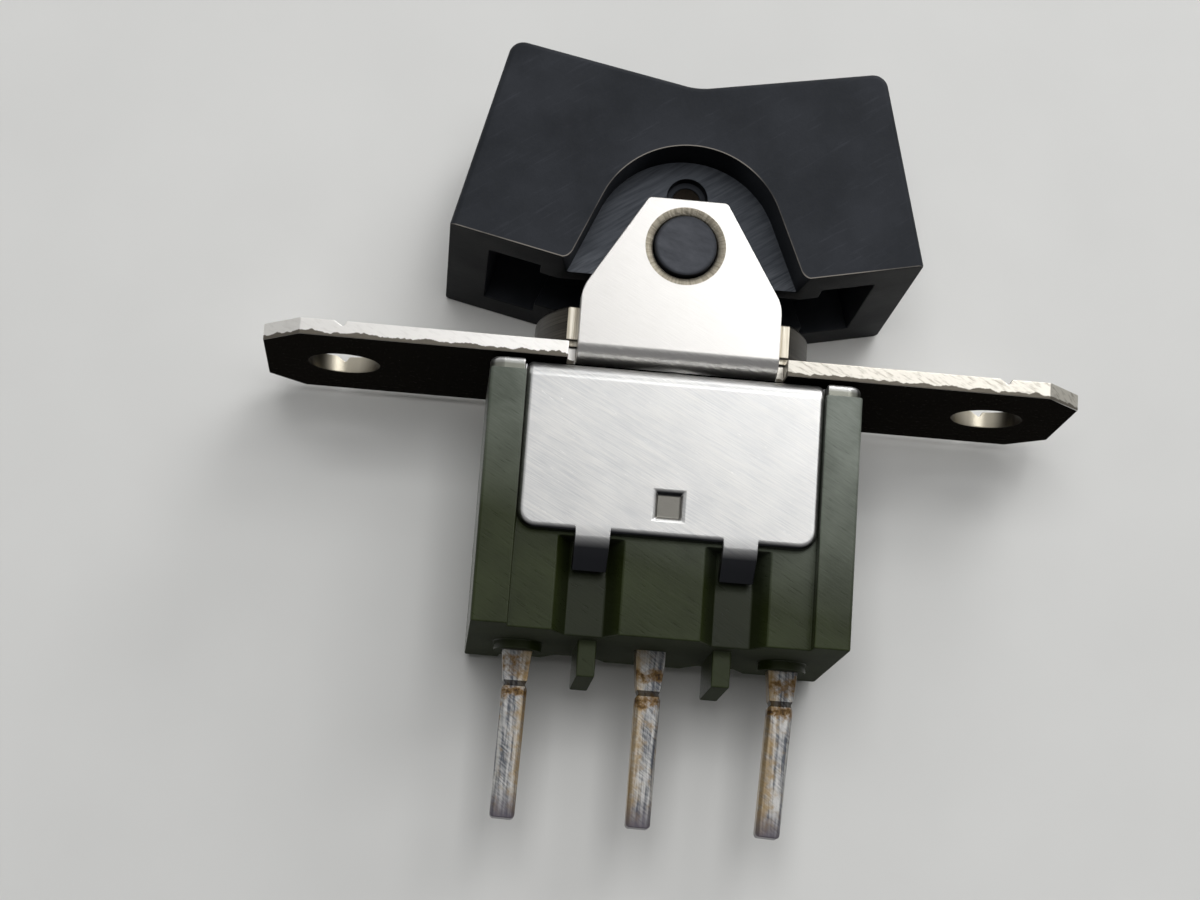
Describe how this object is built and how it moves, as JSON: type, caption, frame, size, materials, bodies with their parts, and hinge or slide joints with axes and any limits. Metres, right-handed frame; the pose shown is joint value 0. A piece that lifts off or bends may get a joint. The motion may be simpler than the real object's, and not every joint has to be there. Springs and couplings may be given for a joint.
{
  "type": "rocker switch",
  "caption": "Miniature momentary rocker switch with a moulded case, sheet frame and two-eared screw bracket, ending in a row of flat solder terminals.",
  "frame": {"origin": "centre of the mounting flange's top face, midway between its two screw holes", "axes": "+X along the flange, the way the rocker tips; +Y from the front plate to the back plate; +Z from the terminals up to the rocker"},
  "size_m": [0.029, 0.0094, 0.0269],
  "materials": {
    "bracket_steel": "nickel plated stamped steel, satin with bright sheared edges",
    "collar_metal": "nickel plated turned metal, dull",
    "frame_steel": "tin plated sheet steel, fine scratches",
    "case_moulding": "olive green thermoset moulding, satin",
    "insulator_fibre": "vulcanised fibre sheet",
    "rocker_plastic": "black moulded plastic, fine satin",
    "lever_steel": "turned steel",
    "block_plastic": "black moulded plastic",
    "plunger_plastic": "natural moulded plastic",
    "spring_steel": "drawn spring wire",
    "contactor_copper": "copper alloy strip",
    "contact_silver": "silver rivet",
    "terminal_metal": "tinned copper alloy with old solder and brown flux stains"
  },
  "bodies": {
    "base": {"bracket": "bracket_steel", "collar": "collar_metal", "frame": "frame_steel", "case": "case_moulding", "insulator": "insulator_fibre", "fixed_contact_left": "contact_silver", "fixed_contact_right": "contact_silver", "contact_cradle": "contactor_copper", "terminal_left": "terminal_metal", "terminal_common": "terminal_metal", "terminal_right": "terminal_metal"},
    "rocker_unit": {"rocker": "rocker_plastic", "lever": "lever_steel", "lever_pin": "lever_steel", "actuator_block": "block_plastic", "plunger_spring": "spring_steel"},
    "plunger_unit": {"plunger": "plunger_plastic"},
    "contactor_unit": {"contactor": "contactor_copper", "movable_contact_left": "contact_silver", "movable_contact_right": "contact_silver"}
  },
  "joints": [
    {"name": "rocker_tilt", "type": "hinge", "parent": "base", "child": "rocker_unit", "pos_m": [0, 0, 0.0038], "axis": [0, 1, 0], "range_deg": [-11, 11], "stiffness_Nm_per_rad": 0.03},
    {"name": "plunger_slide", "type": "slide", "parent": "rocker_unit", "child": "plunger_unit", "axis": [0, 0, 1], "range_m": [0, 0.0004], "stiffness_N_per_m": 300, "springref_m": -0.0015, "deforming": ["plunger_spring"]},
    {"name": "contactor_rock", "type": "hinge", "parent": "base", "child": "contactor_unit", "pos_m": [0, 0, -0.00645], "axis": [0, 1, 0], "range_deg": [-6, 6]}
  ],
  "couplings": [
    {"joint": "contactor_rock", "follows": "rocker_tilt", "ratio": -0.5454}
  ]
}
